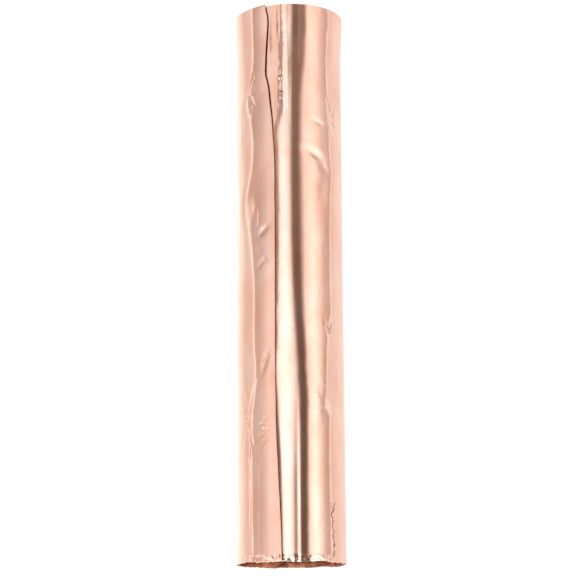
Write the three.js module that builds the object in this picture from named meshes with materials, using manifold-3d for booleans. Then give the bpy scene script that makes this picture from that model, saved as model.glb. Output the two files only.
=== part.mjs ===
// A roll of wide copper foil tape lying on its side, in millimetres, +Z up, its axis along Y.
// One long strip, copper foil outside and paper release liner inside, is wound on a paper core tube.
// The last turn is loose, and its free end is a tail that lifts off the roll and parts from its liner.
// The origin is on the surface that the roll lies on, under the middle of the roll.
import * as THREE from "three";
import { mergeVertices } from "three/addons/utils/BufferGeometryUtils.js";
import Module from "manifold-3d";

const wasm = await Module();
wasm.setup();

// Driving dimensions
const FOIL_WIDTH = 305; // a 12 in strip
const OUTER_RADIUS = 29.3; // to the middle of the loose outer turn's foil
const CORE_BORE_RADIUS = 19.05; // a 1.5 in core
const CORE_WALL = 3.5;
const FOIL_THICKNESS = 0.2; // real foil is about 0.035: each modelled turn stands for several
const LINER_THICKNESS = 0.15;
const LINER_INSET = 0.45; // from the middle of the foil in to the middle of its liner
const TURN_PITCH = 0.9;
const FACET = 5; // degrees between the facet edges of every round surface

// The strip angle runs inwards along the strip, in degrees, from the middle of the tail's free edge.
const FREE_EDGE_AT = -16.5; // of the free edge, in degrees from straight up towards +X
const FREE_EDGE_SKEW = 6.5; // degrees that either end of the free edge is out of line with its middle
const TAIL_ARC = 66;
const TAIL_PROUD = 0.1; // the tail stands proud of the outer turn by this much
const HALF_SPLIT = 1; // half the gap, in degrees, between two lengths of the strip
const DIVE_FROM = 306; // the outer turn starts to dive under the tail here
const DIVE_TO = 350;
const OUTER_TURN_END = TAIL_ARC + 360;
const WINDING_INNER_RADIUS = 23.9;
const LINER_TAIL_SETBACK = 8; // degrees from the foil's free edge back to the liner's

// The resting flat, where the loose turns give under the roll's weight
const FLAT_DEPTH = 0.6;
const SOFT_ABOVE_RADIUS = 27.2; // turns inside this radius stay round

// Where pieces end along the axis: the near end is at -Y, the far end at +Y
const NEAR_END = -FOIL_WIDTH / 2;
const FAR_END = FOIL_WIDTH / 2;
const HEM_DEPTH = 3.5; // the outer turn stands this far past the wound turns at the near end
const HEM_THICKNESS = 0.4; // the hem is tucked in against the wound turns' near end
const HEM_INNER_RADIUS = 24.6; // the hem reaches in as far as this
const HEM_GAP = 0.3; // between the hem and the wound turns
const CORE_SETBACK = 1; // from the wound turns' near end in to the core's
const WOUND_FAR_STEP = 0.3; // the wound turns stop this far inside the far end
const LINER_NEAR_STEP = 0.4; // the liner stops this far inside the wound foil's near end

const STARTER_TAPE_ARC = 60;
const STARTER_TAPE_THICKNESS = 0.15;
const STARTER_TAPE_INSET = 5; // from the wound turns' ends
const CORE_CLEARANCE = 0.25;

const OUTER_FACE = OUTER_RADIUS + FOIL_THICKNESS / 2;
const AXIS_HEIGHT = OUTER_FACE - FLAT_DEPTH;
const SPIRAL_OUTER_RADIUS = OUTER_RADIUS + TAIL_PROUD - TURN_PITCH;
const WINDING_END = DIVE_TO + (360 * (SPIRAL_OUTER_RADIUS - WINDING_INNER_RADIUS)) / TURN_PITCH;
const CORE_OUTER_RADIUS = CORE_BORE_RADIUS + CORE_WALL;
const WOUND_NEAR_END = NEAR_END + HEM_DEPTH;
const WOUND_FAR_END = FAR_END - WOUND_FAR_STEP;

// Radius to the middle of the foil at a strip angle
function foilRadius(angle) {
  if (angle <= TAIL_ARC) return OUTER_RADIUS + TAIL_PROUD;
  if (angle >= DIVE_TO) return SPIRAL_OUTER_RADIUS - (TURN_PITCH * (angle - DIVE_TO)) / 360;
  const dive = THREE.MathUtils.smoothstep(angle, DIVE_FROM, DIVE_TO);
  return THREE.MathUtils.lerp(OUTER_RADIUS, SPIRAL_OUTER_RADIUS, dive);
}

const linerRadius = (angle) => foilRadius(angle) - LINER_INSET;

// A point of the cross-section, in X and Z, at a direction in degrees from straight up towards +X
function sectionPoint(direction, radius) {
  const turn = THREE.MathUtils.degToRad(direction);
  const softness = THREE.MathUtils.clamp(
    (radius - SOFT_ABOVE_RADIUS) / (OUTER_FACE - SOFT_ABOVE_RADIUS), 0, 1);
  const lowest = FLAT_DEPTH * softness - radius;
  return new THREE.Vector2(
    radius * Math.sin(turn), AXIS_HEIGHT + Math.max(radius * Math.cos(turn), lowest));
}

const stripPoint = (angle, radius) => sectionPoint(FREE_EDGE_AT - angle, radius);

// Strip angles from one to another, with a stop at each facet edge between them
function stripStops(from, to) {
  const stops = [from];
  let direction = Math.ceil((FREE_EDGE_AT - from) / FACET - 1) * FACET;
  for (; FREE_EDGE_AT - direction < to - 1e-6; direction -= FACET) {
    if (FREE_EDGE_AT - direction > from + 1e-6) stops.push(FREE_EDGE_AT - direction);
  }
  stops.push(to);
  return stops;
}

function ringPoints(radius) {
  const points = [];
  for (let direction = 0; direction < 360; direction += FACET) {
    points.push(sectionPoint(direction, radius));
  }
  return points;
}

// Extrudes a cross-section along the roll
function extrudeAlongRoll(shape, yFrom, yTo) {
  const geometry = new THREE.ExtrudeGeometry(shape, { depth: yTo - yFrom, bevelEnabled: false });
  geometry.rotateX(Math.PI / 2);
  geometry.translate(0, yTo, 0);
  return geometry;
}

// A sheet that follows the strip between two strip angles
function stripSheet(from, to, radiusAt, thickness, yFrom, yTo) {
  const stops = stripStops(from, to);
  const outerFace = stops.map((angle) => stripPoint(angle, radiusAt(angle) + thickness / 2));
  const innerFace = stops.map((angle) => stripPoint(angle, radiusAt(angle) - thickness / 2));
  return extrudeAlongRoll(new THREE.Shape([...outerFace, ...innerFace.reverse()]), yFrom, yTo);
}

// Turns the tail's free edge out of line with the roll, fading to nothing at the tail's root
function skewFreeEdge(geometry) {
  const position = geometry.attributes.position;
  for (let i = 0; i < position.count; i++) {
    const x = position.getX(i);
    const up = position.getZ(i) - AXIS_HEIGHT;
    const direction = THREE.MathUtils.radToDeg(Math.atan2(x, up));
    const alongTail = (FREE_EDGE_AT - direction) / TAIL_ARC;
    const skew = -FREE_EDGE_SKEW * (position.getY(i) / FAR_END) * (1 - alongTail);
    const turn = THREE.MathUtils.degToRad(direction + skew);
    const radius = Math.hypot(x, up);
    position.setX(i, radius * Math.sin(turn));
    position.setZ(i, AXIS_HEIGHT + radius * Math.cos(turn));
  }
  return geometry;
}

// Closed geometry to a manifold-3d solid and back, for joins
function toSolid(geometry) {
  const bare = geometry.clone();
  bare.deleteAttribute("normal");
  bare.deleteAttribute("uv");
  const merged = mergeVertices(bare);
  return new wasm.Manifold(new wasm.Mesh({
    numProp: 3,
    vertProperties: merged.attributes.position.array,
    triVerts: new Uint32Array(merged.index.array),
  }));
}

function toGeometry(solid) {
  const mesh = solid.getMesh();
  const geometry = new THREE.BufferGeometry();
  geometry.setAttribute("position", new THREE.BufferAttribute(mesh.vertProperties, 3));
  geometry.setIndex(new THREE.BufferAttribute(mesh.triVerts, 1));
  geometry.computeVertexNormals();
  return geometry;
}

function coreTube() {
  const nearEnd = WOUND_NEAR_END + CORE_SETBACK;
  const wall = [
    [CORE_BORE_RADIUS, nearEnd],
    [CORE_OUTER_RADIUS, nearEnd],
    [CORE_OUTER_RADIUS, FAR_END],
    [CORE_BORE_RADIUS, FAR_END],
    [CORE_BORE_RADIUS, nearEnd],
  ];
  const profile = wall.map(([radius, y]) => new THREE.Vector2(radius, y));
  const tube = new THREE.LatheGeometry(profile, 360 / FACET);
  tube.translate(0, 0, AXIS_HEIGHT);
  return tube;
}

// The strip of double-sided tape that holds the wound strip's inner end to the core
function starterTape() {
  const radius = CORE_OUTER_RADIUS + CORE_CLEARANCE + STARTER_TAPE_THICKNESS / 2;
  return stripSheet(WINDING_END - STARTER_TAPE_ARC, WINDING_END, () => radius,
    STARTER_TAPE_THICKNESS, WOUND_NEAR_END + STARTER_TAPE_INSET, WOUND_FAR_END - STARTER_TAPE_INSET);
}

function foilWinding() {
  return stripSheet(OUTER_TURN_END + HALF_SPLIT, WINDING_END, foilRadius,
    FOIL_THICKNESS, WOUND_NEAR_END, WOUND_FAR_END);
}

function linerWinding() {
  return stripSheet(TAIL_ARC + HALF_SPLIT, WINDING_END, linerRadius,
    LINER_THICKNESS, WOUND_NEAR_END + LINER_NEAR_STEP, WOUND_FAR_END);
}

// The loose outer turn, with its near edge tucked in against the wound turns
function foilOuterTurn() {
  const from = TAIL_ARC + HALF_SPLIT;
  const to = OUTER_TURN_END - HALF_SPLIT;
  const turn = stripSheet(from, to, foilRadius, FOIL_THICKNESS, NEAR_END, FAR_END);
  const rim = stripStops(from, to).map((angle) => stripPoint(angle, foilRadius(angle)));
  const hemShape = new THREE.Shape(rim);
  hemShape.holes.push(new THREE.Path(ringPoints(HEM_INNER_RADIUS)));
  const hemBack = WOUND_NEAR_END - HEM_GAP;
  const hem = extrudeAlongRoll(hemShape, hemBack - HEM_THICKNESS, hemBack);
  return toGeometry(toSolid(turn).add(toSolid(hem)));
}

function foilTail() {
  return skewFreeEdge(stripSheet(0, TAIL_ARC - HALF_SPLIT, foilRadius,
    FOIL_THICKNESS, NEAR_END, FAR_END));
}

function linerTail() {
  return stripSheet(LINER_TAIL_SETBACK, TAIL_ARC - HALF_SPLIT, linerRadius,
    LINER_THICKNESS, WOUND_NEAR_END, WOUND_FAR_END);
}

const copper = { color: 0xe2ac94, roughness: 0.2, metalness: 1 };
const linerPaper = { color: 0xf1ece0, roughness: 0.6, metalness: 0 };
const kraftBoard = { color: 0xb08a62, roughness: 0.85, metalness: 0 };
const clearTape = { color: 0xd9cfae, roughness: 0.35, metalness: 0 };

const roll = new THREE.Group();

function addPiece(name, geometry, look) {
  const mesh = new THREE.Mesh(geometry, new THREE.MeshStandardMaterial(look));
  mesh.name = name;
  roll.add(mesh);
}

addPiece("core_tube", coreTube(), kraftBoard);
addPiece("starter_tape", starterTape(), clearTape);
addPiece("foil_winding", foilWinding(), copper);
addPiece("liner_winding", linerWinding(), linerPaper);
addPiece("foil_outer_turn", foilOuterTurn(), copper);
addPiece("foil_tail", foilTail(), copper);
addPiece("liner_tail", linerTail(), linerPaper);

export default roll;
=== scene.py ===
"""A roll of wide copper foil tape lying on its side under soft studio light.

The frame comes from the CAD model. The foil is rebuilt here as thin sheets with the dents, creases and
crumpled hem of real foil, and the wound turns as real spirals of foil and liner. Lengths are in
millimetres and directions round the roll in degrees from straight up towards +X, until a mesh is made.
"""
import math

import bpy
import numpy as np
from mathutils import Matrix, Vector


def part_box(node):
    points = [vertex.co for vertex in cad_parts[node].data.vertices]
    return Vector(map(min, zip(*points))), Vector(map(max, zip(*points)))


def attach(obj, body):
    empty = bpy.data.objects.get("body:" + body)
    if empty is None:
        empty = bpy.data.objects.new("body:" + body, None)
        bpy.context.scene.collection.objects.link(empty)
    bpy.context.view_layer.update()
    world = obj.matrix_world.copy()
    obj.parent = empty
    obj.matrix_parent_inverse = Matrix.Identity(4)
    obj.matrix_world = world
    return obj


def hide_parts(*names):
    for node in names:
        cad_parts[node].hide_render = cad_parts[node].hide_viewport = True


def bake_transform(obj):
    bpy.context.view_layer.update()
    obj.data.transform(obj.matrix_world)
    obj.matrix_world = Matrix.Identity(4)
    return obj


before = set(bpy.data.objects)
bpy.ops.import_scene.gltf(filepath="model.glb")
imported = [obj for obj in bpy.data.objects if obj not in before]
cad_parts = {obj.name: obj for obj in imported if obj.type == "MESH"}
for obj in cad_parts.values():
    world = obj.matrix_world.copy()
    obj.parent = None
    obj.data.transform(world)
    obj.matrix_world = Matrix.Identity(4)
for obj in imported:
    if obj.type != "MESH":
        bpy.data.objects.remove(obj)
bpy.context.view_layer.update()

MM = 0.001


def box_mm(node):
    low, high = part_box(node)
    return [value / MM for value in low], [value / MM for value in high]


# ---------------------------------------------------------------- sizes, from the CAD model
turn_low, turn_high = box_mm("foil_outer_turn")
core_low, core_high = box_mm("core_tube")
winding_low, winding_high = box_mm("foil_winding")

NEAR_END = turn_low[1]
FAR_END = turn_high[1]
AXIS_HEIGHT = (core_low[2] + core_high[2]) / 2
OUTER_FACE = turn_high[0]
OUTER_RADIUS = OUTER_FACE - 0.1  # middle of the thick turn that stands for the foil in CAD
CORE_OUTER = (core_high[0] - core_low[0]) / 2
CORE_WALL = 3.5
FLAT_DEPTH = OUTER_FACE - AXIS_HEIGHT  # how far the loose turns give where they carry the roll
SOFT_ABOVE = 27.2  # turns inside this radius stay round
WOUND_NEAR = winding_low[1]
WOUND_FAR = winding_high[1]

TAIL_ROOT = -82.5  # direction of the hinge line
STRAIGHT_FROM = -22.5  # the tail stops following the roll's curve here
STEP_UNDER_TAIL = 0.9  # how far the outer turn has dived where the tail covers it
FOIL_THICKNESS = 0.05
LINER_THICKNESS = 0.07


# ---------------------------------------------------------------- curves and relief
def smooth_curve(at, points):
    """Smooth curve through a few points given as (place, value), with flat ends."""
    places, values = np.array(sorted(points), float).T
    middle = np.clip(at, places[0], places[-1])
    index = np.clip(np.searchsorted(places, middle) - 1, 0, len(places) - 2)
    slopes = np.gradient(values, places)
    slopes[0] = slopes[-1] = 0
    gap = places[index + 1] - places[index]
    t = (middle - places[index]) / gap
    start, end = values[index], values[index + 1]
    return (
        (2 * t**3 - 3 * t**2 + 1) * start
        + (t**3 - 2 * t**2 + t) * gap * slopes[index]
        + (3 * t**2 - 2 * t**3) * end
        + (t**3 - t**2) * gap * slopes[index + 1]
    )


def smoothstep(value, start, end):
    t = np.clip((value - start) / (end - start), 0, 1)
    return t * t * (3 - 2 * t)


def bell(value, centre, width):
    return np.exp(-(((value - centre) / width) ** 2))


def ripples(s, y, shortest, longest, seed, count=18, stretch=1.0, creased=False):
    """Random ripples, about 1 high, between two wavelengths; creased ones meet in sharp lines."""
    rng = np.random.default_rng(seed)
    total = np.zeros(np.broadcast(s, y).shape)
    for _ in range(count):
        length = shortest * (longest / shortest) ** rng.random()
        heading = rng.random() * math.tau
        phase = rng.random() * math.tau
        turn = math.tau * (s * math.cos(heading) + y * math.sin(heading) / stretch) / length + phase
        wave = 1.6 * np.abs(np.sin(turn / 2)) - 1 if creased else np.sin(turn)
        total += wave * length / longest
    return total / math.sqrt(count)


# How far the foil's surface leans from round at three lines along the roll, as (y, degrees)
LEFT_LINE = -45
LEFT_LEAN = [(150, 5), (115, 3), (106, 0), (97, -7), (88, -2), (75, 2), (63, 1), (39, -9), (26, -4),
             (8, 1), (-4, 3), (-37, 3), (-56, 5), (-66, 2), (-92, -2), (-130, -1), (-150, 0)]
LEFT_WIDTH = 10
MIDDLE_LINE = 7.5
MIDDLE_LEAN = [(150, 2), (120, 1), (72, -0.5), (-6, 0.8), (-38, 4), (-80, 6.3), (-120, 6.5),
               (-150, 6)]
MIDDLE_WIDTH = 14
FAR_LINE = 13
FAR_LEAN = [(152, 5), (125, 4), (98, 0), (94, 0), (-152, 0)]
FAR_WIDTH = 5
RIGHT_LINE = 46
RIGHT_LEAN = [(150, 1), (110, 0), (78, 3), (38, 3), (0, 3), (-24, 2), (-31, -1), (-51, -3),
              (-66, -5), (-79, -1), (-100, 0), (-150, 1)]
RIGHT_WIDTH = 9

# Dents as (y, direction, half length along, half width across, turned by, depth)
DENTS = [
    (68, 29.5, 5.6, 2.3, -63, 0.58),
    (61, 41, 5, 2.4, -50, 0.3),
    (86, 34, 4, 1.6, -74, 0.22),
    (48, 38, 13, 4.5, 10, 0.35),
    (25, -29.5, 3.6, 1.8, 48, 0.62),
    (14, -34, 3.5, 2.0, -30, 0.30),
    (7, -32, 3, 1.4, 40, 0.28),
    (9, -27, 2.2, 1.2, -35, 0.22),
    (-47, -27.5, 6, 1.7, 16, 0.45),
    (104, -40, 4, 1.6, 35, 0.15),
    (-27, 42, 3.5, 1.2, -24, 0.22),
    (-27, 47, 3.5, 1.2, 20, 0.18),
    (-72, 40, 9, 4, 15, 0.30),
    (-62, 33, 5, 3, -20, 0.25),
    (110, -8.7, 1.5, 1.1, 0, 0.25),
    (101.6, -7.9, 1.4, 1.1, 0, 0.25),
    (95, -8, 3.5, 1.6, 0, 0.16),
]

# Sharp creases as (y, direction, half length, half width, turned by, depth)
CREASES = [
    (31, -37.5, 8, 0.7, 2, 0.20),
    (92, 52, 7, 0.8, -20, 0.34),
    (93, 55, 6, 0.8, 24, 0.34),
    (78, 62, 12, 0.9, -20, 0.40),
    (84, 54, 10, 0.8, 2, 0.26),
    (80, -62, 11, 0.9, 0, -0.2),
    (-80, -54, 20, 0.8, 18, 0.24),
    (-78, -50, 14, 0.8, -16, 0.20),
    (-126, -34, 36, 2.4, 0, 0.22),
    (-120, -47, 34, 0.7, 1, 0.10),
    (-125, -56, 30, 0.7, -1, 0.10),
    (-118, -60, 30, 0.6, 2, 0.08),
    (108, -46, 7, 0.6, 28, 0.22),
    (100, -44, 7, 0.6, -30, 0.22),
    (110, -40, 5, 0.5, -15, 0.14),
]

# Torn creases that drop at once on one side and slope back up, as (y, direction, half length,
# width, turned by)
TEARS = [
    (-134, 48, 13, 0.9, -4),
    (-123, 49.6, 3.5, 0.7, 26),
    (-146, 49, 4, 0.7, 12),
]
TEAR_SLOPE = 0.5


def local_frame(s, y, place_y, direction, turned):
    """Coordinates along and across a feature that is turned away from the roll's axis."""
    away = y - place_y
    round_roll = s - math.radians(direction) * OUTER_RADIUS
    c, n = math.cos(math.radians(turned)), math.sin(math.radians(turned))
    return away * c + round_roll * n, round_roll * c - away * n


def lean(s, y, line, leans, width, aside=0):
    """Relief that leans the surface by so many degrees along a line, and by nothing away from it."""
    angle = smooth_curve(y, leans)
    reach = math.radians(width) * OUTER_RADIUS
    u = (s - np.radians(line + angle + aside) * OUTER_RADIUS) / reach
    return np.radians(angle) * reach * u * np.exp(-u * u / 2)


def torn(s, y):
    """How far inside a torn crease a place is, measured from its sloping side; 0 outside."""
    inside = np.zeros(np.broadcast(s, y).shape)
    for place_y, place, along, across, turned in TEARS:
        p, q = local_frame(s, y, place_y, place, turned)
        q = q + 0.3 * np.sin(p * 1.1)
        opened = across * np.exp(-((p / along) ** 4))
        inside += np.maximum(opened - q, 0) * (q > 0)
    return inside


def relief(direction, y):
    """How far the foil stands out from round, in millimetres."""
    s = np.radians(direction) * OUTER_RADIUS
    height = lean(s, y, LEFT_LINE, LEFT_LEAN, LEFT_WIDTH)
    height += lean(s, y, MIDDLE_LINE, MIDDLE_LEAN, MIDDLE_WIDTH, aside=-2)
    height += lean(s, y, FAR_LINE, FAR_LEAN, FAR_WIDTH)
    height += lean(s, y, RIGHT_LINE, RIGHT_LEAN, RIGHT_WIDTH)
    for place_y, place, along, across, turned, depth in DENTS:
        p, q = local_frame(s, y, place_y, place, turned)
        height -= depth * np.exp(-((p / along) ** 2) - (q / across) ** 2)
    for place_y, place, along, across, turned, depth in CREASES:
        p, q = local_frame(s, y, place_y, place, turned)
        height -= depth * np.exp(-((p / along) ** 2) - np.abs(q) / across)
    height -= TEAR_SLOPE * torn(s, y)

    # Long shallow waves and fine crumples, weakest along the bands of light on top
    calm = 1 - 0.85 * bell(direction, 4, 17)
    height += 0.12 * calm * ripples(s, y, 18, 55, seed=3, stretch=2.5)
    patches = 0.35 + np.clip(0.5 + ripples(s, y, 15, 50, seed=6, stretch=2), 0, 1)
    height += 0.02 * calm * patches * ripples(s, y, 3, 9, seed=5, stretch=1.6, creased=True)

    # Fields of crinkles in places
    left_near = bell(y, -84, 13) * bell(direction, -29, 8)
    left_side = bell(y, -82, 20) * bell(direction, -54, 9)
    left_far = bell(y, 100, 14) * bell(direction, -43, 7)
    right_near = bell(y, -66, 12) * bell(direction, 34, 10)
    right_side = bell(y, 90, 12) * bell(direction, 58, 8)
    crinkle = ripples(s, y, 1.8, 5, seed=8, creased=True)
    height += crinkle * (0.15 * left_near + 0.08 * right_near)
    folds = ripples(s, y, 3, 8, seed=9, creased=True)
    height += 0.09 * folds * (left_side + right_side + 0.6 * left_far)

    # The roll is a little narrower in the middle, and flares at the cut end
    height += 0.2 * (np.maximum(y, 0) / FAR_END) ** 2 + 0.9 * smoothstep(y, 118, 152) ** 2
    return height


# ---------------------------------------------------------------- the cross-section
def section(direction, radius):
    """X and Z of a place round the roll; loose turns lie flat where they carry the roll."""
    turn = np.radians(direction)
    softness = np.clip((radius - SOFT_ABOVE) / (OUTER_FACE - SOFT_ABOVE), 0, 1)
    up = np.maximum(radius * np.cos(turn), FLAT_DEPTH * softness - radius)
    return radius * np.sin(turn), AXIS_HEIGHT + up


def free_edge(y):
    """Direction of the tail's free edge: it steps back past a short tear near the far end."""
    edge = smooth_curve(y, [(152, -24), (146, -22), (134, -23.2), (119, -25.2), (113, -25.2),
                            (108, -22.9), (98, -20.3), (88, -17.8), (79, -16.5), (69, -15.2),
                            (41, -14.7), (-67, -14.7), (-83, -14.3), (-99, -12.8), (-115, -11.4),
                            (-130, -10), (-152, -9)])
    return edge - 1.1 + 0.06 * np.sin(y * 0.37 + 1)


# ---------------------------------------------------------------- meshes
def make_piece(name, body, points, uv, closed_rows=False, closed_columns=False):
    """A grid of points, rows by columns, in millimetres, as a smooth mesh that rides on a body."""
    rows, columns = points.shape[:2]
    index = np.arange(rows * columns).reshape(rows, columns)
    if closed_rows:
        index = np.vstack([index, index[:1]])
    if closed_columns:
        index = np.hstack([index, index[:, :1]])
    quads = np.stack([index[:-1, :-1], index[:-1, 1:], index[1:, 1:], index[1:, :-1]], -1)
    quads = quads.reshape(-1, 4)

    mesh = bpy.data.meshes.new(name)
    mesh.vertices.add(rows * columns)
    mesh.vertices.foreach_set("co", (points * MM).astype(np.float32).ravel())
    mesh.loops.add(quads.size)
    mesh.loops.foreach_set("vertex_index", quads.ravel().astype(np.int32))
    mesh.polygons.add(len(quads))
    mesh.polygons.foreach_set("loop_start", np.arange(0, quads.size, 4, dtype=np.int32))
    mesh.polygons.foreach_set("use_smooth", np.ones(len(quads), bool))
    layer = mesh.uv_layers.new(name="strip")
    layer.data.foreach_set("uv", uv.reshape(-1, 2)[quads.ravel()].astype(np.float32).ravel())
    mesh.update(calc_edges=True)
    mesh.validate()

    piece = bpy.data.objects.new(name, mesh)
    bpy.context.scene.collection.objects.link(piece)
    if body:
        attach(piece, body)
    return piece


def thicken(piece, thickness, back_material=0):
    """Gives a sheet its thickness inwards; the back can have a material of its own."""
    solid = piece.modifiers.new("thickness", "SOLIDIFY")
    solid.thickness = thickness * MM
    solid.offset = -1
    solid.material_offset = back_material
    solid.use_even_offset = False
    return solid


ROW_STEP = 0.5
FINE_STEP = 0.95  # between columns, in degrees, where the foil shows
UNDER_STEP = 2.2
COVERED_STEP = 3.0
FINE_FROM = 135
FINE_TO = -28
TUCKED_TO = 24.3  # radius of the tucked edge at the near end
INNERMOST = 22  # no crumple of the tucked edge goes further in than this
FOLD_SEEN = 0.34  # from this far into the hem on, the foil is dull, with painted shade of the deep fold in its colour
# from this far into a torn crease on, its faces get the darker copper with painted shade
TORN_SEEN = 0.05
TAIL_COLUMNS = 72
LINER_COLUMNS = 60
LINER_STEP = 2.0
LINER_SETBACK = 5  # degrees that the liner's free edge lies back from the foil's


def sheet_rows(hem):
    """Rows from the cut far edge to the near edge, as y and inset, and how far into the hem each is."""
    body = np.arange(FAR_END, NEAR_END + 3.2, -ROW_STEP)
    y = np.concatenate([body, [point[0] + NEAR_END for point in hem]])
    inset = np.concatenate([np.zeros(len(body)), [point[1] for point in hem]])
    into = np.concatenate([np.zeros(len(body)), np.linspace(0.1, 1, len(hem))])
    return y[:, None], inset[:, None], into[:, None]


def hem_path(points, count):
    """Evenly spaced places along a smooth path of (y from the near end, inset)."""
    path = np.array(points, float)
    at = np.linspace(0, len(path) - 1, count)
    knots = np.arange(len(path))
    return list(zip(smooth_curve(at, list(zip(knots, path[:, 0]))),
                    smooth_curve(at, list(zip(knots, path[:, 1])))))


def crumple_hem(direction, y, into):
    """Crushes the hem: changes to y and to the radius that grow towards the fold."""
    s = np.radians(direction) * OUTER_RADIUS
    close = smoothstep(-y, -(NEAR_END + 6), -(NEAR_END + 0.3))
    folds = ripples(s, y, 2.2, 7, seed=21, creased=True)
    waves = ripples(s, 0 * y, 8, 26, seed=22)
    out = close * (0.38 * folds + 0.20 * waves)
    dented = 0.7 + 0.9 * waves + 0.8 * ripples(s, 0 * y, 2, 6, seed=23, creased=True)
    pushed_back = 0.9 * smoothstep(np.cos(np.radians(direction)), -0.2, 0.9)
    along = close * (pushed_back + 0.45 * np.maximum(dented, 0))
    along = along + into * 0.5 * ripples(s, into * 9, 1.8, 5, seed=24, creased=True)
    return along, out * (1 - 0.6 * into)


# ---------------------------------------------------------------- the loose outer turn
def far_strip(direction, y, s):
    """The streaked, pinched strip beside the far half of the tail's edge."""
    streak = bell(direction, -9, 9) * smoothstep(y, 78, 96)
    lines = 0.08 * ripples(s, y * 0.04, 1.5, 4, seed=31)
    specks = 0.02 * ripples(s, y, 2, 5, seed=32, creased=True)
    ladder = bell(direction, -7.6, 1.3) * smoothstep(y, 84, 96)
    rungs = 0.014 * (1 + np.sin(y * 2.6) + 0.7 * np.sin(y * 1.7 + 1))
    return streak * (lines + specks) - ladder * rungs


def near_groove(direction, y):
    """A shallow groove that runs down the band beside the tail's edge to the hem."""
    flank = np.where(direction < 7, 3.8, 1.5)
    return 0.10 * bell(direction, 7, flank) * smoothstep(-y, 50, 120)


def dive_under_tail(direction, y, past_edge):
    """How far the outer turn has gone in to pass under the tail."""
    dive = STEP_UNDER_TAIL * smoothstep(-direction, -80, 5)
    dive = dive + 0.9 * smoothstep(-direction, 3, 20) * smoothstep(y, 78, 100)
    dive = dive + 0.16 * smoothstep(past_edge, -0.5, 5)
    return dive + 0.28 * smoothstep(-y, 50, 110) * smoothstep(past_edge, -6, 3)


def build_outer_turn():
    direction = np.concatenate([
        np.arange(TAIL_ROOT + 360, FINE_FROM, -UNDER_STEP),
        np.arange(FINE_FROM, FINE_TO, -FINE_STEP),
        np.arange(FINE_TO, TAIL_ROOT, -COVERED_STEP),
    ])[None, :]
    hem = hem_path([(3, 0), (1.2, 0), (0.1, 0.1), (0, 0.35), (0.3, 0.6), (1.8, 0.75), (3, 0.9),
                    (3.2, 2.4), (3.2, 5)], 32)
    y, inset, into = sheet_rows(hem)
    sheet_y = y
    s = np.radians(direction) * OUTER_RADIUS
    past_edge = free_edge(y) - direction

    wrapped = np.where(direction > 180, direction - 360, direction)
    radius = OUTER_RADIUS + relief(wrapped, y) * smoothstep(-abs(wrapped), -150, -95)
    radius = radius - dive_under_tail(direction, y, past_edge)
    radius = radius + far_strip(direction, y, s) - near_groove(direction, y)

    # Crush the hem, then tuck it in front of the wound turns
    along, out = crumple_hem(direction, y, into)
    radius = radius - inset * (radius - TUCKED_TO) / (OUTER_RADIUS - TUCKED_TO) + out
    y = y + along + 0.9 * smoothstep(past_edge, -2, 3)
    tucked = smoothstep(inset, 0.9, 1.6)
    pleats = 0.35 + 0.4 * np.maximum(0.6 + ripples(s, inset * 3, 1.8, 6, seed=25, creased=True), 0)
    y = y + (np.minimum(y, WOUND_NEAR - pleats) - y) * tucked
    radius = radius - 0.25 * tucked * ripples(s, inset, 3, 12, seed=26) * (inset > 4)

    x, z = section(direction + 0 * y, np.maximum(radius, INNERMOST))
    uv = np.stack([s + 0 * y, y], -1) * MM
    turn = make_piece("outer_turn_foil", "roll", np.stack([x, y, z], -1), uv)
    # Faces deep in the hem and inside torn creases get the darker copper: painted shade where folds and
    # cracks are in shadow
    painted_shade_faces = (into[:-1] > FOLD_SEEN) | (torn(s, sheet_y)[:-1, :-1] > TORN_SEEN)
    turn.data.polygons.foreach_set("material_index", painted_shade_faces.astype(np.int32).ravel())
    return turn


# ---------------------------------------------------------------- the tail
def build_tail():
    hem = hem_path([(3, 0), (1.2, 0), (0.1, 0.05), (0, 0.3), (0.1, 0.7), (0.3, 1.1), (0.5, 1.35)], 20)
    y, inset, into = sheet_rows(hem)
    share = np.linspace(1, 0, TAIL_COLUMNS)[None, :]
    edge = free_edge(y)
    direction = TAIL_ROOT + (edge - TAIL_ROOT) * share
    from_edge = np.radians(edge - direction) * OUTER_RADIUS
    past_bend = np.radians(np.maximum(direction - STRAIGHT_FROM, 0))
    radius = (OUTER_RADIUS + 0.1) / np.cos(past_bend) + relief(direction, y)
    radius = radius - 0.55 * smoothstep(y, 84, 104) * smoothstep(-from_edge, -11, 0)
    along, out = crumple_hem(direction, y, into)
    radius = radius - inset * smoothstep(share, 0, 0.04) + out * smoothstep(share, 0, 0.1)
    y = y + along
    x, z = section(direction, radius)
    uv = np.stack([np.radians(direction) * OUTER_RADIUS, y], -1) * MM
    tail = make_piece("tail_foil", None, np.stack([x, y, z], -1), uv)
    thicken(tail, FOIL_THICKNESS, back_material=1)
    return tail


def build_liner_tail():
    """The liner's free end, which lies back from the foil's edge."""
    y = np.arange(WOUND_FAR - 0.2, WOUND_NEAR, -LINER_STEP)[:, None]
    share = np.linspace(1, 0, LINER_COLUMNS)[None, :]
    edge = free_edge(y) - LINER_SETBACK + 0.5 * np.sin(y * 0.05)
    direction = TAIL_ROOT + (edge - TAIL_ROOT) * share
    radius = OUTER_RADIUS - 0.42 + 0.8 * np.minimum(relief(direction, y), 0.3)
    radius = radius + 0.03 * ripples(np.radians(direction) * OUTER_RADIUS, y, 10, 30, seed=41)
    x, z = section(direction, radius)
    uv = np.stack([np.radians(direction) * OUTER_RADIUS, y + 0 * direction], -1) * MM
    liner = make_piece("tail_liner", None,
                       np.stack([x, y + 0 * direction, z], -1), uv)
    thicken(liner, LINER_THICKNESS)
    return liner


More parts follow.
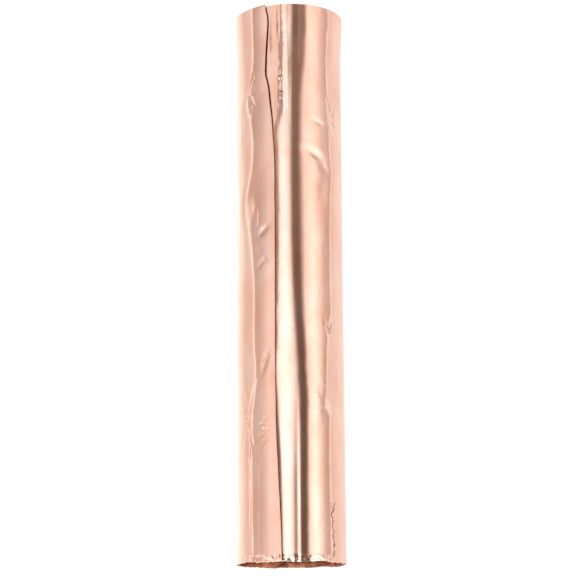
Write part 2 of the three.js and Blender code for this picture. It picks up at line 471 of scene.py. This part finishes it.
# ---------------------------------------------------------------- the wound turns
WOUND_OUTER = 26.8
LOOSENED = 1.7  # how much further out the outermost wound turns lie away from the top
WOUND_INNER = 23.1
WOUND_PITCH = 0.16
FOIL_SHARE = 0.045  # thickness of the foil in the winding
LINER_SHARE = 0.075
TURN_SEGMENTS = 72


def build_wound_strip(name, inset, thickness, near, far, seed):
    """One strip wound from its outer to its inner radius, as a ribbon with a closed section."""
    turns = (WOUND_OUTER - WOUND_INNER) / WOUND_PITCH
    wound = np.linspace(0, turns, int(turns * TURN_SEGMENTS))
    radius = WOUND_OUTER - WOUND_PITCH * wound - inset
    rng = np.random.default_rng(seed)
    stray = np.cumsum(rng.normal(0, 0.06, int(turns) + 2))
    stray -= np.linspace(0, stray[-1], len(stray))
    shift = np.clip(np.interp(wound, np.arange(len(stray)), stray), -0.15, 0.15)
    shift = shift + 0.05 * np.sin(wound * math.tau + seed) * np.sin(wound * 0.7)
    direction = TAIL_ROOT - 360 * (wound % 1)
    outermost = smoothstep(radius, WOUND_OUTER - 2.6, WOUND_OUTER)
    radius = radius + LOOSENED * outermost * smoothstep(-np.cos(np.radians(direction)), -0.8, 0.1)
    corners = [(thickness / 2, far), (thickness / 2, near), (-thickness / 2, near),
               (-thickness / 2, far)]
    rings = []
    for offset, end in corners:
        x, z = section(direction, radius + offset)
        rings.append(np.stack([x, end + shift, z], -1))
    points = np.stack(rings, 1)
    uv = np.stack([np.stack([wound * 0.17, 0 * wound + corner[1] * MM], -1)
                   for corner in corners], 1)
    strip = make_piece(name, "roll", points, uv, closed_columns=True)
    strip.data.polygons.foreach_set("use_smooth", np.zeros(len(strip.data.polygons), bool))
    return strip


# ---------------------------------------------------------------- the core
def build_core():
    """A spirally wound paperboard tube with softened edges."""
    bevel = 0.5
    nick = 0.15  # how far the middle of a bevel lies inside the sharp corner
    outer, inner = CORE_OUTER, CORE_OUTER - CORE_WALL
    near, far = core_low[1], core_high[1]
    profile = [(inner, near + bevel), (inner + nick, near + nick), (inner + bevel, near),
               (outer - bevel, near), (outer - nick, near + nick), (outer, near + bevel)]
    along = np.linspace(near + 4, far - 4, 40)
    profile += [(outer, place) for place in along]
    profile += [(outer, far - bevel), (outer - nick, far - nick), (outer - bevel, far),
                (inner + bevel, far), (inner + nick, far - nick), (inner, far - bevel)]
    profile += [(inner, place) for place in along[::-1]]
    radius = np.array([point[0] for point in profile])[:, None]
    y = np.array([point[1] for point in profile])[:, None]
    direction = np.linspace(0, 360, 145)[None, :-1]
    turn = np.radians(direction)
    ply = 0.03 * np.sin(turn * 2 + y * 0.1) + 0.02 * ripples(turn * radius, y, 20, 60, seed=51)
    x = (radius + ply) * np.sin(turn)
    z = AXIS_HEIGHT + (radius + ply) * np.cos(turn)
    uv = np.stack([direction / 360 + 0 * y, y * MM + 0 * direction], -1)
    return make_piece("core_board", "roll", np.stack([x, y + 0 * x, z], -1), uv,
                      closed_rows=True, closed_columns=True)


# ---------------------------------------------------------------- materials
def new_material(name):
    material = bpy.data.materials.new(name)
    material.use_nodes = True
    tree = material.node_tree
    return material, tree, tree.nodes["Principled BSDF"]


def mapped(tree, scale, source="UV"):
    """Texture coordinates stretched by a scale for each axis."""
    coordinate = tree.nodes.new("ShaderNodeTexCoord")
    mapping = tree.nodes.new("ShaderNodeMapping")
    mapping.inputs["Scale"].default_value = scale
    tree.links.new(coordinate.outputs[source], mapping.inputs["Vector"])
    return mapping.outputs["Vector"]


def noise(tree, vector, scale, detail=3.0, roughness=0.5, distortion=0.0):
    node = tree.nodes.new("ShaderNodeTexNoise")
    node.inputs["Scale"].default_value = scale
    node.inputs["Detail"].default_value = detail
    node.inputs["Roughness"].default_value = roughness
    node.inputs["Distortion"].default_value = distortion
    tree.links.new(vector, node.inputs["Vector"])
    return node.outputs["Fac"]


def ramp(tree, fac, stops):
    node = tree.nodes.new("ShaderNodeValToRGB")
    elements = node.color_ramp.elements
    while len(elements) < len(stops):
        elements.new(0.5)
    for element, (place, colour) in zip(elements, stops):
        element.position = place
        element.color = (*colour, 1)
    tree.links.new(fac, node.inputs["Fac"])
    return node.outputs["Color"]


def ranged(tree, fac, low, high):
    """A 0 to 1 value taken to a range."""
    node = tree.nodes.new("ShaderNodeMapRange")
    node.inputs["To Min"].default_value = low
    node.inputs["To Max"].default_value = high
    tree.links.new(fac, node.inputs["Value"])
    return node.outputs["Result"]


def bump(tree, height, distance, strength, before=None):
    node = tree.nodes.new("ShaderNodeBump")
    node.inputs["Distance"].default_value = distance
    node.inputs["Strength"].default_value = strength
    tree.links.new(height, node.inputs["Height"])
    if before is not None:
        tree.links.new(before, node.inputs["Normal"])
    return node.outputs["Normal"]


def copper_material(name, rough_low, rough_high, tint_low, tint_high):
    """Rolled copper foil: fine lines across the strip, handling marks and faint darker blooms."""
    material, tree, shader = new_material(name)
    shader.inputs["Metallic"].default_value = 1.0
    rolling = noise(tree, mapped(tree, (25, 1500, 1)), 1.0, detail=4, roughness=0.6)
    blooms = noise(tree, mapped(tree, (60, 35, 1)), 1.0, detail=5, roughness=0.6, distortion=0.6)
    pits = noise(tree, mapped(tree, (900, 900, 1)), 1.0, detail=2)
    tint = ramp(tree, blooms, [(0.3, tint_low), (0.62, tint_high)])
    tree.links.new(tint, shader.inputs["Base Color"])
    roughness = ranged(tree, noise(tree, mapped(tree, (90, 220, 1)), 1.0, detail=4), rough_low,
                       rough_high)
    tree.links.new(roughness, shader.inputs["Roughness"])
    lines = bump(tree, rolling, 0.00003, 0.6)
    tree.links.new(bump(tree, pits, 0.00002, 0.35, before=lines), shader.inputs["Normal"])
    return material


def liner_material():
    material, tree, shader = new_material("liner_paper")
    fibres = noise(tree, mapped(tree, (700, 220, 1)), 1.0, detail=5, roughness=0.65)
    colour = ramp(tree, fibres, [(0.3, (0.78, 0.73, 0.62)), (0.7, (0.90, 0.86, 0.77))])
    tree.links.new(colour, shader.inputs["Base Color"])
    tree.links.new(ranged(tree, fibres, 0.38, 0.55), shader.inputs["Roughness"])
    tree.links.new(bump(tree, fibres, 0.00003, 0.3), shader.inputs["Normal"])
    return material


def core_material():
    """Kraft board wound in a slanting strip, so a seam runs round it like a screw."""
    material, tree, shader = new_material("kraft_board")
    coordinate = tree.nodes.new("ShaderNodeTexCoord")
    split = tree.nodes.new("ShaderNodeSeparateXYZ")
    tree.links.new(coordinate.outputs["UV"], split.inputs["Vector"])
    along = tree.nodes.new("ShaderNodeMath")
    along.operation = "MULTIPLY_ADD"
    along.inputs[1].default_value = 1 / 0.085
    tree.links.new(split.outputs["Y"], along.inputs[0])
    tree.links.new(split.outputs["X"], along.inputs[2])
    fraction = tree.nodes.new("ShaderNodeMath")
    fraction.operation = "FRACT"
    tree.links.new(along.outputs[0], fraction.inputs[0])
    seam = ramp(tree, fraction.outputs[0], [(0.0, (0, 0, 0)), (0.008, (0.2, 0.2, 0.2)),
                                            (0.016, (1, 1, 1))])
    fibres = noise(tree, mapped(tree, (60, 420, 420), "Object"), 1.0, detail=6, roughness=0.7)
    flecks = noise(tree, mapped(tree, (1400, 600, 1400), "Object"), 1.0, detail=3)
    kraft = ramp(tree, fibres, [(0.25, (0.30, 0.17, 0.08)), (0.7, (0.50, 0.32, 0.17))])
    mix = tree.nodes.new("ShaderNodeMix")
    mix.data_type = "RGBA"
    mix.blend_type = "MULTIPLY"
    mix.inputs["Factor"].default_value = 0.45
    tree.links.new(kraft, mix.inputs["A"])
    tree.links.new(seam, mix.inputs["B"])
    tree.links.new(mix.outputs["Result"], shader.inputs["Base Color"])
    tree.links.new(ranged(tree, flecks, 0.7, 0.95), shader.inputs["Roughness"])
    paper = bump(tree, flecks, 0.00006, 0.5)
    tree.links.new(bump(tree, seam, 0.0002, 0.5, before=paper), shader.inputs["Normal"])
    return material


def tape_material():
    material, tree, shader = new_material("starter_tape")
    haze = noise(tree, mapped(tree, (300, 120, 300), "Object"), 1.0, detail=4)
    colour = ramp(tree, haze, [(0.3, (0.58, 0.52, 0.34)), (0.7, (0.72, 0.66, 0.46))])
    tree.links.new(colour, shader.inputs["Base Color"])
    tree.links.new(ranged(tree, haze, 0.2, 0.45), shader.inputs["Roughness"])
    tree.links.new(bump(tree, haze, 0.00004, 0.4), shader.inputs["Normal"])
    return material


# ---------------------------------------------------------------- floor, light and camera
FLOOR_HALF = 1.1
FLOOR_DROP = 0.0002
FLOOR_SPAN = 0.5
# Brightness of the floor by distance to the left and right of the roll
FLOOR_GLOW = [(-450, 0.75), (-165, 0.73), (-120, 0.85), (-86, 1.05), (-50, 1.3), (0, 1.1),
              (45, 0.88), (80, 0.90), (150, 0.84), (300, 0.78), (450, 0.78)]


def build_floor():
    mesh = bpy.data.meshes.new("floor")
    corners = [(-1, -1), (1, -1), (1, 1), (-1, 1)]
    mesh.from_pydata([(FLOOR_HALF * x, FLOOR_HALF * y, 0) for x, y in corners], [], [(0, 1, 2, 3)])
    floor = bpy.data.objects.new("floor", mesh)
    bpy.context.scene.collection.objects.link(floor)
    floor.location.z = -FLOOR_DROP
    material, tree, shader = new_material("floor")
    grain = noise(tree, mapped(tree, (30, 30, 30), "Object"), 1.0)
    pale = ramp(tree, grain, [(0, (0.10, 0.10, 0.10)), (1, (0.12, 0.12, 0.12))])
    tree.links.new(pale, shader.inputs["Base Color"])
    shader.inputs["Roughness"].default_value = 0.9
    shader.inputs["Specular IOR Level"].default_value = 0.0

    # The light falls off across the floor; the camera sees it evenly pale
    coordinate = tree.nodes.new("ShaderNodeTexCoord")
    split = tree.nodes.new("ShaderNodeSeparateXYZ")
    tree.links.new(coordinate.outputs["Object"], split.inputs["Vector"])
    place = tree.nodes.new("ShaderNodeMapRange")
    place.inputs["From Min"].default_value = -FLOOR_SPAN
    place.inputs["From Max"].default_value = FLOOR_SPAN
    tree.links.new(split.outputs["X"], place.inputs["Value"])
    spread = ramp(tree, place.outputs["Result"],
                  [((x / 1000 + FLOOR_SPAN) / (2 * FLOOR_SPAN), (level, level, level))
                   for x, level in FLOOR_GLOW])
    path = tree.nodes.new("ShaderNodeLightPath")
    seen = tree.nodes.new("ShaderNodeMix")
    seen.data_type = "RGBA"
    seen.inputs["B"].default_value = (1, 1, 1, 1)
    tree.links.new(path.outputs["Is Camera Ray"], seen.inputs["Factor"])
    tree.links.new(spread, seen.inputs["A"])
    tree.links.new(seen.outputs["Result"], shader.inputs["Emission Color"])
    shader.inputs["Emission Strength"].default_value = 1.0
    mesh.materials.append(material)
    return floor


# Light of the studio as (angle from overhead towards +X, level near, level far, warmth)
STUDIO = [
    (-180, 1.3, 1.3, 0), (-88.5, 1.3, 1.3, 0), (-86.5, 0.66, 0.56, 0.3), (-78, 0.68, 0.60, 0.3),
    (-70, 0.70, 0.65, 0.2), (-60, 0.78, 0.72, 0.1), (-50, 0.90, 0.86, 0), (-42, 1.05, 0.96, 0),
    (-37, 1.1, 1.0, 0), (-34.5, 0.22, 0.5, 0.8), (-27.3, 0.18, 0.5, 0.8), (-24.8, 0.7, 0.8, 0.2),
    (-22, 1.3, 1.08, -0.6), (-16, 1.54, 1.28, -0.85), (-8, 1.6, 1.1, -0.85), (-2, 1.32, 0.88, -0.7),
    (2, 0.9, 0.8, 0.1), (5.5, 0.24, 0.37, 0.9), (8.5, 0.15, 0.26, 0.95), (19, 0.15, 0.25, 0.95),
    (23, 0.35, 0.5, 0.5), (27, 0.8, 0.8, 0.2), (31, 1.2, 1.05, 0), (38, 1.45, 1.15, 0),
    (48, 1.6, 1.25, 0), (58, 1.55, 1.2, 0), (66, 1.25, 1.05, 0.1), (74, 0.9, 0.85, 0.2),
    (82, 0.66, 0.72, 0.3), (88.5, 0.56, 0.62, 0.3), (90, 1.15, 1.15, 0), (180, 1.15, 1.15, 0),
]
# Strength of the light by direction, from the near side (-1) to the far side (+1)
ALONG = [(-1, 0.7), (-0.6, 0.7), (-0.4, 1.5), (-0.1, 1.5), (0.02, 1), (0.38, 1), (0.55, 0.7),
         (0.8, 0.65), (1, 0.65)]
STUDIO_PEAK = 2.0


def studio_colour(level, warmth):
    level = level / STUDIO_PEAK
    return level, level * (1 - 0.20 * warmth), level * (1 - 0.30 * warmth)


def build_world():
    """A studio of long soft panels parallel to the roll, as one glow that depends on direction."""
    world = bpy.data.worlds.new("studio")
    bpy.context.scene.world = world
    world.use_nodes = True
    tree = world.node_tree
    coordinate = tree.nodes.new("ShaderNodeTexCoord")
    split = tree.nodes.new("ShaderNodeSeparateXYZ")
    tree.links.new(coordinate.outputs["Generated"], split.inputs["Vector"])
    angle = tree.nodes.new("ShaderNodeMath")
    angle.operation = "ARCTAN2"
    tree.links.new(split.outputs["X"], angle.inputs[0])
    tree.links.new(split.outputs["Z"], angle.inputs[1])
    place = tree.nodes.new("ShaderNodeMapRange")
    place.inputs["From Min"].default_value = -math.pi
    place.inputs["From Max"].default_value = math.pi
    tree.links.new(angle.outputs[0], place.inputs["Value"])
    glows = [ramp(tree, place.outputs["Result"],
                  [((row[0] + 180) / 360, studio_colour(row[end], row[3])) for row in STUDIO])
             for end in (1, 2)]
    along = tree.nodes.new("ShaderNodeMapRange")
    along.inputs["From Min"].default_value = 0.17
    along.inputs["From Max"].default_value = 0.3
    tree.links.new(split.outputs["Y"], along.inputs["Value"])
    glow = tree.nodes.new("ShaderNodeMix")
    glow.data_type = "RGBA"
    tree.links.new(along.outputs["Result"], glow.inputs["Factor"])
    tree.links.new(glows[0], glow.inputs["A"])
    tree.links.new(glows[1], glow.inputs["B"])

    whole = tree.nodes.new("ShaderNodeMapRange")
    whole.inputs["From Min"].default_value = -1
    tree.links.new(split.outputs["Y"], whole.inputs["Value"])
    fade = ramp(tree, whole.outputs["Result"],
                [((end + 1) / 2, (level / 2, level / 2, level / 2)) for end, level in ALONG])
    strength = tree.nodes.new("ShaderNodeMath")
    strength.operation = "MULTIPLY"
    strength.inputs[1].default_value = STUDIO_PEAK * 2
    tree.links.new(fade, strength.inputs[0])
    light = tree.nodes["Background"]
    tree.links.new(strength.outputs[0], light.inputs["Strength"])
    tree.links.new(glow.outputs["Result"], light.inputs["Color"])
    plain = tree.nodes.new("ShaderNodeBackground")
    plain.inputs["Color"].default_value = (0.95, 0.95, 0.95, 1)
    path = tree.nodes.new("ShaderNodeLightPath")
    mix = tree.nodes.new("ShaderNodeMixShader")
    tree.links.new(path.outputs["Is Camera Ray"], mix.inputs["Fac"])
    tree.links.new(light.outputs[0], mix.inputs[1])
    tree.links.new(plain.outputs[0], mix.inputs[2])
    tree.links.new(mix.outputs[0], tree.nodes["World Output"].inputs["Surface"])


def build_camera():
    """Nearly straight above, a little in front of the near end."""
    data = bpy.data.cameras.new("camera")
    camera = bpy.data.objects.new("camera", data)
    bpy.context.scene.collection.objects.link(camera)
    data.lens = 108.6
    data.sensor_width = 36
    camera.location = (-0.0022, -0.1935, AXIS_HEIGHT * MM + 0.936)
    camera.rotation_euler = (math.radians(11.6), 0, math.radians(-0.35))
    bpy.context.scene.camera = camera


# ---------------------------------------------------------------- put together
copper = copper_material("copper_foil", 0.07, 0.15, (0.94, 0.52, 0.38), (0.98, 0.64, 0.515))
adhesive_back = copper_material("adhesive_back", 0.32, 0.5, (0.42, 0.26, 0.20), (0.50, 0.32, 0.25))
# Darker, redder copper for the deep hem folds and torn creases: painted shade where they lie in shadow
painted_fold_shade = copper_material("copper_painted_fold_shade", 0.22, 0.4, (0.22, 0.075, 0.04), (0.42, 0.155, 0.085))
liner_paper = liner_material()

outer_turn = build_outer_turn()
outer_turn.data.materials.append(copper)
outer_turn.data.materials.append(painted_fold_shade)
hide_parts("foil_outer_turn")

tail = build_tail()
tail.data.materials.append(copper)
tail.data.materials.append(adhesive_back)
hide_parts("foil_tail")
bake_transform(tail)

liner = build_liner_tail()
liner.data.materials.append(liner_paper)
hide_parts("liner_tail")
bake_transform(liner)

wound_foil = build_wound_strip("wound_foil", 0, FOIL_SHARE, WOUND_NEAR, WOUND_FAR, 61)
wound_foil.data.materials.append(copper)
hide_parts("foil_winding")
wound_liner = build_wound_strip("wound_liner", WOUND_PITCH / 2, LINER_SHARE,
                                WOUND_NEAR + 0.15, WOUND_FAR - 0.1, 62)
wound_liner.data.materials.append(liner_paper)
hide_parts("liner_winding")

core = build_core()
core.data.materials.append(core_material())
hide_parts("core_tube")

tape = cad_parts["starter_tape"]
tape.data.materials.clear()
tape.data.materials.append(tape_material())

build_floor()
build_world()
build_camera()
bpy.context.scene.view_settings.view_transform = "Standard"
